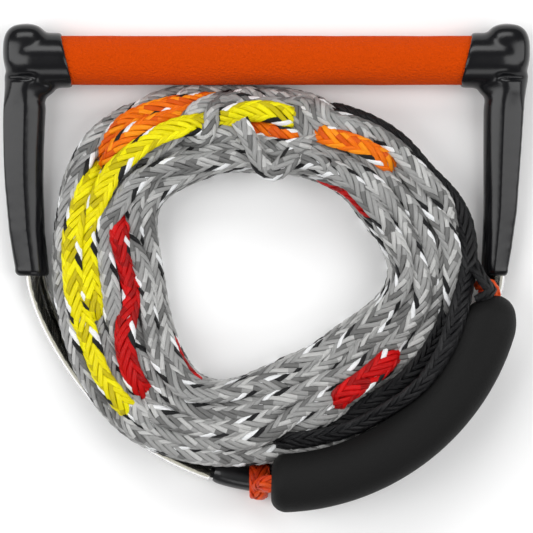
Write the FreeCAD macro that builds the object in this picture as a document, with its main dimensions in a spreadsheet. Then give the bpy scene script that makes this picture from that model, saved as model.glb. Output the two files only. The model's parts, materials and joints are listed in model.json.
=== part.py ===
import FreeCAD, Part
import Sketcher
import math
import os

# Water-ski tow rope handle with its mainline coiled inside it, lying flat on a surface at Z = 0.
# X runs along the bar, Y points from the rope apex to the bar, Z is up. Millimetres.

Vector = FreeCAD.Vector
Rotation = FreeCAD.Rotation
Placement = FreeCAD.Placement

SIZES = {
    # aluminium bar
    "bar_length": 310.0,
    "bar_offset": 126.3,
    "bar_height": 17.2,
    "tube_outer": 22.0,
    "tube_wall": 1.6,
    "rope_hole": 9.0,
    "hole_reach": 147.0,
    # foam plugs that keep the bar afloat
    "plug_length": 28.0,
    "plug_reach": 138.0,
    "plug_slack": 0.1,
    # grip
    "grip_length": 272.0,
    "foam_outer": 28.4,
    "cover_outer": 30.0,
    "layer_gap": 0.1,
    # end guards
    "guard_radius": 17.0,
    "guard_end": 144.0,
    "guard_mouth": 116.0,
    "mouth_lean": 14.0,
    "mouth_shift": 2.5,
    "slant_width": 80.0,
    "crown_radius": 13.5,
    "crown_offset": 135.6,
    "seat_reach": 136.4,
    "seat_radius": 15.2,
    "end_cavity": 155.3,
    "tube_gap": 0.15,
    "leg_bore": 6.9,
    "mouth_bore": 7.7,
    "mouth_depth": 1.2,
    "bore_overrun": 6.0,
    # rope and its knots
    "rope_radius": 4.0,
    "knot_width": 9.4,
    "knot_thickness": 4.3,
    "knot_offset": 141.8,
    "knot_gap": 0.4,
    # bridle
    "pivot_along": -11.0,
    "pivot_height": 9.6,
    "hose_outer": 6.5,
    "hose_inner": 4.4,
    "hose_start": 11.0,
    "sleeve_outer": 7.0,
    "sleeve_left": -32.0,
    "sleeve_right": 24.0,
    "sleeve_gap": 0.3,
    # hitch of the float rope round the bridle
    "hitch_left": -10.6,
    "hitch_right": 2.0,
    "hitch_along": -131.8,
    "hitch_height": 9.35,
    "hitch_bore": 7.45,
    "hitch_bulge": 11.4,
    "hitch_depth": 9.35,
    "hitch_reach": 14.0,
    "hitch_lean": -3.56,
    # banana float and the rope through it
    "float_centre_x": 6.4,
    "float_centre_y": 1.2,
    "float_arc": 132.7,
    "float_radius": 17.8,
    "float_height": 34.6,
    "float_bore": 5.0,
    "float_rim": 8.0,
    "float_start": -91.5,
    "float_sweep": 81.5,
    "core_sweep": 85.8,
    "lead_length": 12.0,
    "eye_length": 10.0,
    # coiled mainline
    "coil_centre_x": -2.0,
    "coil_centre_y": -6.0,
    "coil_half_width": 129.0,
    "coil_half_depth": 114.0,
    "hole_half_width": 77.0,
    "hole_half_depth": 62.0,
    "coil_height": 50.0,
    "shoulder_inset": 9.0,
    "shoulder_height": 33.0,
    "coil_bottom": 14.2,
    "turn_gap": 0.4,
    "float_clearance": 18.6,
    # how far a cutting shape runs past what it cuts
    "overrun": 5.0,
    "wide_overrun": 30.0,
    "seat_overrun": 60.0,
    # handle section, wound under the mainline
    "black_centre_x": 10.0,
    "black_centre_y": 3.0,
    "black_half_width": 112.0,
    "black_half_depth": 101.0,
    "black_band": 15.0,
    "black_height": 13.0,
    # coloured sections, wound in with the mainline
    "yellow_band": 12.0,
    "yellow_bottom": 18.0,
    "yellow_top": 29.0,
    "orange_inset": 18.0,
    "orange_band": 15.0,
    "orange_bottom": 38.0,
    "red_band": 11.0,
    "red_bottom": 18.0,
    "red_top": 29.0,
}

# Centres and sizes of the end guard's leg, from the bar down to the mouth.
# along, left, right and height are coordinates; width and depth are full sizes across the leg.
STATIONS = {
    "crown": {"along": 118.0, "left": -147.0, "right": 147.0, "height": 17.2, "width": 28.0, "depth": 27.0},
    "shoulder": {"along": 102.0, "left": -147.4, "right": 145.8, "height": 16.4, "width": 26.0, "depth": 25.6},
    "upper": {"along": 80.0, "left": -148.3, "right": 145.0, "height": 15.2, "width": 24.2, "depth": 23.6},
    "middle": {"along": 52.0, "left": -148.4, "right": 143.8, "height": 13.2, "width": 22.2, "depth": 21.6},
    "lower": {"along": 22.0, "left": -146.4, "right": 141.4, "height": 11.0, "width": 20.6, "depth": 20.0},
    "lip": {"along": -6.5, "left": -141.5, "right": 140.2, "height": 9.6, "width": 18.8, "depth": 18.8},
}

# The bridle's route between the two guard mouths. The pivots are added at its ends.
BRIDLE_ROUTE = [
    (-134.4, -32.0, 7.7),
    (-123.0, -53.0, 6.8),
    (-108.0, -74.5, 6.8),
    (-89.0, -94.5, 6.8),
    (-66.0, -111.2, 6.8),
    (-40.5, -123.4, 7.6),
    (-14.0, -131.2, 9.35),
    (8.5, -132.6, 9.35),
    (30.0, -129.8, 7.4),
    (55.0, -122.5, 6.8),
    (80.0, -109.5, 6.8),
    (101.0, -90.5, 6.8),
    (118.0, -68.5, 6.8),
    (130.4, -43.0, 7.3),
]
SIDES = {"left": -1, "right": 1}

os.makedirs("parts", exist_ok=True)
doc = FreeCAD.newDocument("tow_rope_handle")
sheet = doc.addObject("Spreadsheet::Sheet", "Sizes")


def fill_sheet():
    rows = dict(SIZES)
    for station, values in STATIONS.items():
        for name, value in values.items():
            rows[f"{station}_{name}"] = value
    for row, (name, value) in enumerate(rows.items(), start=1):
        sheet.set(f"A{row}", name)
        sheet.set(f"B{row}", str(value))
        sheet.setAlias(f"B{row}", name)
    doc.recompute()


def size(name):
    return float(sheet.get(name))


def bind(item, **formulas):
    """Ties properties to sheet formulas; a double underscore in a name stands for a dot."""
    for path, formula in formulas.items():
        item.setExpression(path.replace("__", "."), formula)
    return item


def put(item, x="0", y="0", z="0"):
    return bind(item, Placement__Base__x=x, Placement__Base__y=y, Placement__Base__z=z)


def turned(item, axis, degrees):
    item.Placement = Placement(Vector(), Rotation(axis, degrees))
    return item


def cylinder(name, axis, radius, height):
    """A cylinder that starts at its own origin and runs along +X, +Y or +Z."""
    item = doc.addObject("Part::Cylinder", name)
    turn = {
        "x": (Vector(0, 1, 0), 90),
        "y": (Vector(1, 0, 0), -90),
        "z": (Vector(0, 0, 1), 0),
    }
    turned(item, *turn[axis])
    return bind(item, Radius=radius, Height=height)


def sphere(name, radius):
    return bind(doc.addObject("Part::Sphere", name), Radius=radius)


def block(name, length, width, height):
    return bind(doc.addObject("Part::Box", name), Length=length, Width=width, Height=height)


def joined(name, pieces):
    item = doc.addObject("Part::MultiFuse", name)
    item.Shapes = pieces
    return item


def cut(name, base, tool):
    item = doc.addObject("Part::Cut", name)
    item.Base = base
    item.Tool = tool
    return item


def common(name, base, tool):
    item = doc.addObject("Part::Common", name)
    item.Base = base
    item.Tool = tool
    return item


def labelled(item, node):
    item.Label = node
    SUBPARTS.append(item)
    return item


SUBPARTS = []


# ---- PartDesign helpers ----

def origin_plane(body, role):
    return next(f for f in body.Origin.OriginFeatures if f.Role == role)


def ring_sketch(body, name, role, radii, lift="0"):
    """Concentric circles about the body's own axis, on one of its origin planes."""
    sketch = body.newObject("Sketcher::SketchObject", name)
    sketch.AttachmentSupport = [(origin_plane(body, role), "")]
    sketch.MapMode = "FlatFace"
    sketch.setExpression("AttachmentOffset.Base.z", lift)
    for index, formula in enumerate(radii):
        sketch.addGeometry(Part.Circle(Vector(), Vector(0, 0, 1), 5.0 + index), False)
        sketch.addConstraint(Sketcher.Constraint("Coincident", index, 3, -1, 1))
        radius = sketch.addConstraint(Sketcher.Constraint("Radius", index, 5.0 + index))
        sketch.setExpression(f"Constraints[{radius}]", formula)
    return sketch


def padded_rings(node, radii, length, x):
    """A body along X made by padding concentric circles, centred on x."""
    body = doc.addObject("PartDesign::Body", node + "_body")
    sketch = ring_sketch(body, node + "_section", "YZ_Plane", radii, f"-({length}) / 2")
    pad = body.newObject("PartDesign::Pad", node + "_pad")
    pad.Profile = sketch
    pad.setExpression("Length", length)
    put(body, x, "Sizes.bar_offset", "Sizes.bar_height")
    return body


# ---- bar and grip ----

def bar_tube():
    radii = ["Sizes.tube_outer / 2", "Sizes.tube_outer / 2 - Sizes.tube_wall"]
    body = padded_rings("bar_tube", radii, "Sizes.bar_length", "0")
    doc.recompute()
    plain = body.Shape.Volume
    for side, sign in SIDES.items():
        sketch = body.newObject("Sketcher::SketchObject", f"{side}_hole_circle")
        sketch.AttachmentSupport = [(origin_plane(body, "XZ_Plane"), "")]
        sketch.MapMode = "FlatFace"
        sketch.setExpression("AttachmentOffset.Base.x", f"{sign} * Sizes.hole_reach")
        sketch.addGeometry(Part.Circle(Vector(), Vector(0, 0, 1), 4.0), False)
        sketch.addConstraint(Sketcher.Constraint("Coincident", 0, 3, -1, 1))
        sketch.addConstraint(Sketcher.Constraint("Radius", 0, 4.0))
        sketch.setExpression("Constraints[1]", "Sizes.rope_hole / 2")
        pocket = body.newObject("PartDesign::Pocket", f"{side}_hole")
        pocket.Profile = sketch
        pocket.Type = "ThroughAll"
        pocket.Midplane = True
    doc.recompute()
    removed = plain - body.Shape.Volume
    expected = 4 * math.pi * (size("rope_hole") / 2) ** 2 * size("tube_wall")
    if not 0.9 * expected < removed < 1.4 * expected:
        raise RuntimeError(f"rope holes removed {removed:.1f} cubic mm, and about {expected:.1f} was meant")
    labelled(body, "bar_tube")


def bar_plugs():
    radius = "Sizes.tube_outer / 2 - Sizes.tube_wall - Sizes.plug_slack"
    for side, sign in SIDES.items():
        node = f"{side}_bar_plug"
        centre = f"{sign} * (Sizes.plug_reach - Sizes.plug_length / 2)"
        labelled(padded_rings(node, [radius], "Sizes.plug_length", centre), node)


def grip():
    foam = ["Sizes.foam_outer / 2", "Sizes.tube_outer / 2 + Sizes.layer_gap"]
    cover = ["Sizes.cover_outer / 2", "Sizes.foam_outer / 2 + Sizes.layer_gap / 2"]
    labelled(padded_rings("grip_foam", foam, "Sizes.grip_length", "0"), "grip_foam")
    labelled(padded_rings("grip_cover", cover, "Sizes.grip_length", "0"), "grip_cover")


# ---- end guards and the rope inside them ----

def leg_loft(side, name, width=None, depth=None):
    """A tube-like solid down the guard's leg; width and depth are radii, or the leg's own."""
    ovals = []
    for station in STATIONS:
        oval = doc.addObject("Part::Ellipse", f"{name}_{station}")
        turned(oval, Vector(1, 0, 0), 90)
        place = [f"Sizes.{station}_{key}" for key in (side, "along", "height")]
        put(oval, *place)
        bind(oval, MajorRadius=width or f"Sizes.{station}_width / 2")
        bind(oval, MinorRadius=depth or f"Sizes.{station}_depth / 2")
        ovals.append(oval)
    loft = doc.addObject("Part::Loft", name)
    loft.Sections = ovals
    loft.Solid = True
    loft.Ruled = False
    return loft


def knot(side, sign, name, swell="0"):
    item = doc.addObject("Part::Ellipsoid", name)
    bind(
        item,
        Radius1=f"Sizes.knot_width + {swell}",
        Radius2=f"Sizes.knot_width + {swell}",
        Radius3=f"Sizes.knot_thickness + {swell}",
    )
    return put(item, f"{sign} * Sizes.hole_reach", "Sizes.knot_offset", "Sizes.bar_height")


def guard_body(side, sign):
    """Outer shape: bar sleeve, rounded end, crown over the knot, and the leg."""
    reach = "Sizes.guard_end - Sizes.guard_mouth + 2 * Sizes.overrun"
    sleeve = cylinder(f"{side}_guard_sleeve", "x", "Sizes.guard_radius", reach)
    start = "-Sizes.guard_end" if sign < 0 else "Sizes.guard_mouth - 2 * Sizes.overrun"
    put(sleeve, start, "Sizes.bar_offset", "Sizes.bar_height")
    dome = sphere(f"{side}_guard_dome", "Sizes.guard_radius")
    put(dome, f"{sign} * Sizes.guard_end", "Sizes.bar_offset", "Sizes.bar_height")
    crown = sphere(f"{side}_guard_crown", "Sizes.crown_radius")
    put(crown, f"{sign} * Sizes.hole_reach", "Sizes.crown_offset", "Sizes.bar_height")
    return joined(f"{side}_guard_outside", [sleeve, dome, crown, leg_loft(side, f"{side}_leg")])


def guard_inside(side, sign):
    """Everything removed from the guard: bar bore, grip seat, knot cavity, leg bore and slanted mouth."""
    bore_length = "Sizes.end_cavity - Sizes.guard_mouth + Sizes.wide_overrun"
    bore = cylinder(f"{side}_bar_bore", "x", "Sizes.tube_outer / 2 + Sizes.tube_gap", bore_length)
    bore_start = "-Sizes.end_cavity" if sign < 0 else "Sizes.guard_mouth - Sizes.wide_overrun"
    put(bore, bore_start, "Sizes.bar_offset", "Sizes.bar_height")
    seat = cylinder(f"{side}_grip_seat", "x", "Sizes.seat_radius", "Sizes.seat_overrun")
    seat_start = "-Sizes.seat_reach" if sign < 0 else "Sizes.seat_reach - Sizes.seat_overrun"
    put(seat, seat_start, "Sizes.bar_offset", "Sizes.bar_height")
    mouth_length = "Sizes.bore_overrun + Sizes.mouth_depth"
    mouth = cylinder(f"{side}_leg_mouth", "y", "Sizes.mouth_bore", mouth_length)
    put(mouth, f"Sizes.lip_{side}", "Sizes.lip_along - Sizes.bore_overrun", "Sizes.lip_height")
    throat = cylinder(f"{side}_leg_throat", "y", "Sizes.leg_bore", "2 * Sizes.bore_overrun")
    put(throat, f"Sizes.crown_{side}", "Sizes.crown_along - Sizes.bore_overrun", "Sizes.crown_height")
    slant = block(f"{side}_mouth_slant", "Sizes.seat_overrun", "Sizes.slant_width", "Sizes.slant_width")
    turned(slant, Vector(0, 0, 1), -sign * size("mouth_lean"))
    edge = "-Sizes.guard_mouth + Sizes.mouth_shift"
    front = "Sizes.bar_offset - Sizes.wide_overrun"
    if sign > 0:
        edge = "Sizes.guard_mouth - Sizes.mouth_shift - Sizes.seat_overrun * cos(Sizes.mouth_lean)"
        front = f"{front} + Sizes.seat_overrun * sin(Sizes.mouth_lean)"
    put(slant, edge, front, "Sizes.bar_height - Sizes.slant_width / 2")
    leg = leg_loft(side, f"{side}_leg_hollow", "Sizes.leg_bore", "Sizes.leg_bore")
    cavity = knot(side, sign, f"{side}_knot_cavity", "Sizes.knot_gap")
    return joined(f"{side}_guard_inside", [bore, seat, mouth, throat, slant, leg, cavity])


def anchor_rope(side, sign):
    """The rope's end: its knot outside the bar, then through the bar and down the leg."""
    length = "Sizes.knot_offset - Sizes.crown_along"
    run = cylinder(f"{side}_rope_through_bar", "y", "Sizes.rope_radius", length)
    put(run, f"{sign} * Sizes.hole_reach", "Sizes.crown_along", "Sizes.bar_height")
    tail = leg_loft(side, f"{side}_rope_in_leg", "Sizes.rope_radius", "Sizes.rope_radius")
    stopper = knot(side, sign, f"{side}_stopper")
    labelled(joined(f"{side}_anchor", [run, tail, stopper]), f"{side}_anchor_rope")


def end_guards():
    for side, sign in SIDES.items():
        anchor_rope(side, sign)
        guard = cut(f"{side}_guard", guard_body(side, sign), guard_inside(side, sign))
        labelled(guard, f"{side}_end_guard")


# ---- bridle: straight runs joined by tangent arcs ----

def bridle_points():
    ends = [Vector(size(f"lip_{side}"), size("pivot_along"), size("pivot_height")) for side in SIDES]
    return [ends[0]] + [Vector(*point) for point in BRIDLE_ROUTE] + [ends[1]]


def rounded_route(points):
    """A wire through the points, each inner point rounded by an arc as large as its two runs allow."""
    edges = []
    radii = []
    start = points[0]
    for before, corner, after in zip(points, points[1:], points[2:]):
        back = before - corner
        ahead = after - corner
        turn = math.pi - back.getAngle(ahead)
        setback = 0.45 * min(back.Length, ahead.Length)
        radius = setback / math.tan(turn / 2)
        back.normalize()
        ahead.normalize()
        first = corner + back * setback
        last = corner + ahead * setback
        inward = back + ahead
        inward.normalize()
        middle = corner + inward * (radius / math.cos(turn / 2) - radius)
        edges.append(Part.LineSegment(start, first).toShape())
        edges.append(Part.Arc(first, middle, last).toShape())
        radii.append(radius)
        start = last
    edges.append(Part.LineSegment(start, points[-1]).toShape())
    return Part.Wire(edges), radii


def swept(wire, radius):
    """A round solid along the wire, checked against its section times its length."""
    first = wire.OrderedEdges[0]
    start = first.FirstParameter
    circle = Part.Circle(first.valueAt(start), first.tangentAt(start), radius)
    solid = wire.makePipeShell([Part.Wire([circle.toShape()])], True, False)
    expected = math.pi * radius ** 2 * wire.Length
    if abs(solid.Volume / expected - 1) > 0.01:
        raise RuntimeError(f"swept volume is {solid.Volume:.0f}, and {expected:.0f} was meant")
    return solid


def box_between(low, high):
    return Part.makeBox(high[0] - low[0], high[1] - low[1], high[2] - low[2], Vector(*low))


def feature(name, shape, node=None):
    item = doc.addObject("Part::Feature", name)
    item.Shape = shape
    item.Placement = Placement()
    return labelled(item, node) if node else item


def bridle():
    """The bridle rope, its two clear hoses and the sleeve at the apex."""
    points = bridle_points()
    wire, radii = rounded_route(points)
    print(f"bridle route {wire.Length:.1f} mm, smallest radius {min(radii):.1f} mm")
    rope = swept(wire, size("rope_radius"))
    for end in (points[0], points[-1]):
        rope = rope.fuse(Part.makeSphere(size("rope_radius"), end))
    feature("bridle_rope_tube", rope.removeSplitter(), "bridle_rope")
    far = 200.0
    start = size("pivot_along") - size("hose_start")
    left = size("sleeve_left")
    right = size("sleeve_right")
    gap = size("sleeve_gap")
    hose = swept(wire, size("hose_outer")).cut(swept(wire, size("hose_inner")))
    left_half = box_between((-far, -far, -far), (left - gap, start, far))
    right_half = box_between((right + gap, -far, -far), (far, start, far))
    feature("left_hose", hose.common(left_half), "left_bridle_hose")
    feature("right_hose", hose.common(right_half), "right_bridle_hose")
    sleeve = swept(wire, size("sleeve_outer")).cut(swept(wire, size("hose_inner")))
    feature("sleeve", sleeve.common(box_between((left, -far, -far), (right, far, far))), "apex_sleeve")


# ---- float and the rope through it ----

def float_torus(name, radius, sweep, start="Sizes.float_start"):
    item = doc.addObject("Part::Torus", name)
    bind(item, Radius1="Sizes.float_arc", Radius2=radius, Angle3=sweep)
    turned(item, Vector(0, 0, 1), 0)
    bind(item, Placement__Rotation__Angle=start)
    return put(item, "Sizes.float_centre_x", "Sizes.float_centre_y", "Sizes.float_height")


def rim_edges(shape, radius):
    """Numbers of the round edges of that radius."""
    found = []
    for number, edge in enumerate(shape.Edges, start=1):
        curve = edge.Curve
        if isinstance(curve, Part.Circle) and abs(curve.Radius - radius) < 1e-3 and edge.Closed:
            found.append(number)
    return found


def float_body():
    outside = float_torus("float_outside", "Sizes.float_radius", "Sizes.float_sweep")
    doc.recompute()
    rounded = doc.addObject("Part::Fillet", "float_rounded")
    rounded.Base = outside
    rim = size("float_rim")
    rounded.Edges = [(number, rim, rim) for number in rim_edges(outside.Shape, size("float_radius"))]
    bore_sweep = "Sizes.float_sweep + 2 * Sizes.overrun"
    bore = float_torus("float_hole", "Sizes.float_bore", bore_sweep, "Sizes.float_start - Sizes.overrun")
    labelled(cut("float_foam", rounded, bore), "float_body")


def float_rope():
    """Orange rope: hitched round the apex sleeve, through the float, out to the handle section's eye."""
    barrel = doc.addObject("Part::Ellipsoid", "hitch_barrel")
    bind(barrel, Radius1="Sizes.hitch_depth", Radius2="Sizes.hitch_reach", Radius3="Sizes.hitch_bulge")
    middle = "(Sizes.hitch_left + Sizes.hitch_right) / 2"
    put(barrel, middle, "Sizes.hitch_along", "Sizes.hitch_height")
    width = "Sizes.slant_width"
    slab = block("hitch_slab", "Sizes.hitch_right - Sizes.hitch_left", width, width)
    half_slab = f"{width} / 2"
    put(slab, "Sizes.hitch_left", f"Sizes.hitch_along - {half_slab}", f"Sizes.hitch_height - {half_slab}")
    hitch = common("hitch_wraps", barrel, slab)
    rise = "Sizes.float_height - Sizes.hitch_height"
    post = cylinder("hitch_rise", "z", "Sizes.rope_radius", rise)
    put(post, middle, "Sizes.hitch_along", "Sizes.hitch_height")
    elbow = sphere("hitch_elbow", "Sizes.rope_radius")
    put(elbow, middle, "Sizes.hitch_along", "Sizes.float_height")
    lead = cylinder("float_lead", "x", "Sizes.rope_radius", "Sizes.lead_length")
    put(lead, middle, "Sizes.hitch_along", "Sizes.float_height")
    core = float_torus("float_core", "Sizes.rope_radius", "Sizes.core_sweep")
    end_angle = "Sizes.float_start + Sizes.core_sweep"
    end_x = f"Sizes.float_centre_x + Sizes.float_arc * cos({end_angle})"
    end_y = f"Sizes.float_centre_y + Sizes.float_arc * sin({end_angle})"
    corner = sphere("eye_corner", "Sizes.rope_radius")
    put(corner, end_x, end_y, "Sizes.float_height")
    eye = cylinder("eye_run", "x", "Sizes.rope_radius", "Sizes.eye_length")
    put(eye, f"{end_x} - Sizes.eye_length", end_y, "Sizes.float_height")
    tip = sphere("eye_tip", "Sizes.rope_radius")
    put(tip, f"{end_x} - Sizes.eye_length", end_y, "Sizes.float_height")
    whole = joined("float_rope_whole", [hitch, post, elbow, lead, core, corner, eye, tip])
    passage = cylinder("hitch_passage", "x", "Sizes.hitch_bore", "Sizes.seat_overrun")
    along_bridle = Rotation(Vector(0, 0, 1), size("hitch_lean")).multiply(Rotation(Vector(0, 1, 0), 90))
    passage.Placement = Placement(Vector(), along_bridle)
    back = "Sizes.seat_overrun / 2"
    aside = f"Sizes.hitch_along - {back} * sin(Sizes.hitch_lean)"
    put(passage, f"{middle} - {back}", aside, "Sizes.hitch_height")
    labelled(cut("float_rope_cut", whole, passage), "float_rope")


# ---- coiled line: oval rings ----

def oval_block(name, centre, half_width, half_depth, bottom, top):
    oval = doc.addObject("Part::Ellipse", name + "_oval")
    bind(oval, MajorRadius=half_width, MinorRadius=half_depth)
    put(oval, f"Sizes.{centre}_centre_x", f"Sizes.{centre}_centre_y", bottom)
    block_item = doc.addObject("Part::Extrusion", name)
    block_item.Base = oval
    block_item.Dir = Vector(0, 0, 1)
    block_item.Solid = True
    return bind(block_item, LengthFwd=f"{top} - ({bottom})")


def oval_ring(name, centre, outer, inner, bottom, top):
    """A flat-sided ring between two ellipses; outer and inner are pairs of half axes."""
    outside = oval_block(name + "_outside", centre, *outer, bottom, top)
    below = f"{bottom} - Sizes.overrun"
    above = f"{top} + Sizes.overrun"
    inside = oval_block(name + "_inside", centre, *inner, below, above)
    return cut(name, outside, inside)


def inset(amount):
    return (f"Sizes.coil_half_width - {amount}", f"Sizes.coil_half_depth - {amount}")


def hole_grown(amount):
    return (f"Sizes.hole_half_width + {amount}", f"Sizes.hole_half_depth + {amount}")


def stepped_coil():
    """The coil's whole outer shape above the bridle: a wide ring with a narrower one on it."""
    shoulder = "Sizes.shoulder_height"
    wide = oval_ring("coil_wide", "coil", inset("0"), hole_grown("0"), "Sizes.coil_bottom", shoulder)
    step = "Sizes.shoulder_inset"
    top = "Sizes.coil_height"
    narrow = oval_ring("coil_narrow", "coil", inset(step), hole_grown(step), shoulder, top)
    return joined("coil_whole", [wide, narrow])


def coils():
    """The mainline with the coloured sections let into it, and the handle section under it."""
    clear_sweep = "Sizes.float_sweep + 4 * Sizes.overrun"
    clear_start = "Sizes.float_start - Sizes.overrun"
    clearance = float_torus("float_clear", "Sizes.float_clearance", clear_sweep, clear_start)
    trimmed = cut("coil_trimmed", stepped_coil(), clearance)
    gap = "Sizes.turn_gap"
    past = "(-Sizes.overrun)"
    bands = {
        "yellow": (inset(past), inset("Sizes.yellow_band"), "Sizes.yellow_bottom", "Sizes.yellow_top"),
        "orange": (
            inset("Sizes.orange_inset"),
            inset("(Sizes.orange_inset + Sizes.orange_band)"),
            "Sizes.orange_bottom",
            "Sizes.coil_height + Sizes.overrun",
        ),
        "red": (hole_grown("Sizes.red_band"), hole_grown(past), "Sizes.red_bottom", "Sizes.red_top"),
    }
    cutters = []
    for colour, (outer, inner, bottom, top) in bands.items():
        ring = oval_ring(f"{colour}_ring", "coil", outer, inner, bottom, top)
        labelled(common(f"{colour}_turns", trimmed, ring), f"{colour}_section_coil")
        wide_outer = tuple(f"{half} + {gap}" for half in outer)
        wide_inner = tuple(f"{half} - {gap}" for half in inner)
        low = f"{bottom} - {gap}"
        high = f"{top} + {gap}"
        cutters.append(oval_ring(f"{colour}_room", "coil", wide_outer, wide_inner, low, high))
    black_outer = ("Sizes.black_half_width", "Sizes.black_half_depth")
    black_inner = tuple(f"{half} - Sizes.black_band" for half in black_outer)
    black = oval_ring("black_ring", "black", black_outer, black_inner, "0", "Sizes.black_height")
    labelled(black, "handle_section_coil")
    labelled(cut("grey_turns", trimmed, joined("coil_rooms", cutters)), "mainline_coil")


def check_document():
    for item in doc.Objects:
        if "Invalid" in item.State or "Error" in item.State:
            raise RuntimeError(f"{item.Name} ({item.Label}) failed: {item.State}")
    for item in SUBPARTS:
        if item.Shape.isNull() or not item.Shape.isValid():
            raise RuntimeError(f"{item.Label} has no valid shape")


def export():
    for item in SUBPARTS:
        shape = item.Shape
        print(f"{item.Label}: {len(shape.Solids)} solid, {shape.Volume:.0f} cubic mm")
        shape.exportStep(f"parts/{item.Label}.step")


fill_sheet()
bar_tube()
bar_plugs()
grip()
end_guards()
bridle()
float_body()
float_rope()
coils()
doc.recompute()
check_document()
export()
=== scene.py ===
import json
import math

import bpy
import numpy as np
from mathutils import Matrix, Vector


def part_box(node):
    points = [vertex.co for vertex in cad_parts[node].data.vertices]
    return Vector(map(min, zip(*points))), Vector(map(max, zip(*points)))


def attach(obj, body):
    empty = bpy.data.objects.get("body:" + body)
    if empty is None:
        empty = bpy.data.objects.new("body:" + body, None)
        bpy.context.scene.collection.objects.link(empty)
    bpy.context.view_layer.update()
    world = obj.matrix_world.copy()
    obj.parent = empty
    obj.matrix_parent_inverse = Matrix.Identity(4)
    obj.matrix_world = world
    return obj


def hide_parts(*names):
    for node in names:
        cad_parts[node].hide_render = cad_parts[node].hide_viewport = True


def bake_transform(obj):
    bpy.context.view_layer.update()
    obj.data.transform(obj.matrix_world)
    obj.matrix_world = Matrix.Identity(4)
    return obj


# Water-ski tow handle with its line coiled inside it. Everything is in metres, in the frame's axes:
# X along the bar, Y from the bridle's apex to the bar, Z up from the floor.

MM = 0.001
UP = np.array([0.0, 0.0, 1.0])
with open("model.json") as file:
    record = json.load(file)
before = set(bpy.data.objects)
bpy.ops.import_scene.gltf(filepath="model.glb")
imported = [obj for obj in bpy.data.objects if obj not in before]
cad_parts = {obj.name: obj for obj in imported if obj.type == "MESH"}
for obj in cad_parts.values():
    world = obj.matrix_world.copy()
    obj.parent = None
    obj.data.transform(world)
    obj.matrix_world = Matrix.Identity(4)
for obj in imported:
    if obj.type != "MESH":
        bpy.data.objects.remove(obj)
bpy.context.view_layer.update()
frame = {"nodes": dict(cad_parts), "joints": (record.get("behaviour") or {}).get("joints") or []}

BAR_LOW, BAR_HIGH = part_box("grip_cover")
BAR_Y = (BAR_LOW.y + BAR_HIGH.y) / 2
BAR_Z = (BAR_LOW.z + BAR_HIGH.z) / 2
SWING = next(joint for joint in frame["joints"] if joint["name"] == "bar_swing")
PIVOT_Y = SWING["pos_m"][1]
PIVOT_Z = SWING["pos_m"][2]

# ---- sizes ----

ROPE_WIDTH = 10.5 * MM
ROPE_HEIGHT = 6.2 * MM
ROPE_PITCH = 54 * MM
STRANDS = 8  # in each direction round the braid
BRAID_STEP = 3.5 * MM
BRIDLE_ROPE = 8.0 * MM
HOSE_OUTER = 13.0 * MM
HOSE_INNER = 8.8 * MM
SLEEVE_OUTER = 14.0 * MM

FLOAT_CENTRE = Vector((6.4, 1.2, 34.6)) * MM
FLOAT_ARC = 132.7 * MM
FLOAT_RADIUS = 17.8 * MM
FLOAT_START = -91.5
FLOAT_SWEEP = 82.4

# The bridle's route from the left guard's mouth round the apex to the right one.
BRIDLE_ROUTE = [
    (-0.1421, 0.0080, 0.0100),
    (-0.1416, -0.0015, 0.0096),
    (-0.1415, -0.0110, 0.0096),
    (-0.1344, -0.0320, 0.0077),
    (-0.1230, -0.0530, 0.0068),
    (-0.1080, -0.0745, 0.0068),
    (-0.0890, -0.0945, 0.0068),
    (-0.0660, -0.1112, 0.0068),
    (-0.0405, -0.1234, 0.0076),
    (-0.0140, -0.1312, 0.00935),
    (0.0085, -0.1326, 0.00935),
    (0.0300, -0.1298, 0.0074),
    (0.0550, -0.1225, 0.0068),
    (0.0800, -0.1095, 0.0068),
    (0.1010, -0.0905, 0.0068),
    (0.1180, -0.0685, 0.0068),
    (0.1304, -0.0430, 0.0073),
    (0.1402, -0.0110, 0.0096),
    (0.1403, -0.0015, 0.0096),
    (0.1407, 0.0080, 0.0100),
]

# ---- the coil's plan ----
# Angles are degrees round the coil from +X, radii are millimetres from its centre. A level of 0 is the
# floor and 1 is the top of the coil; a rope with a level over 1 lies over its neighbours.

COIL_CENTRE = Vector((-2.0, -6.0, 0.0)) * MM
TURN_STEPS = 72
FIRST_ANGLE = -8.0
COIL_HEIGHT = 46.0
LID = 52.0  # no rope's middle ends higher than this
# The coil's outer and inner edge: radii every 15 degrees, in millimetres.
OUTLINE = [
    131, 135, 128, 125, 119, 116, 117, 122, 131, 138, 138, 132,
    129, 129, 130, 130, 126, 120, 115, 114, 114, 118, 125, 130,
]
HOLE = [
    77, 74, 70, 69, 67, 65, 64, 67, 70, 75, 76, 67,
    61, 61, 64, 69, 72, 66, 57, 52, 51, 53, 58, 69,
]

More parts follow.
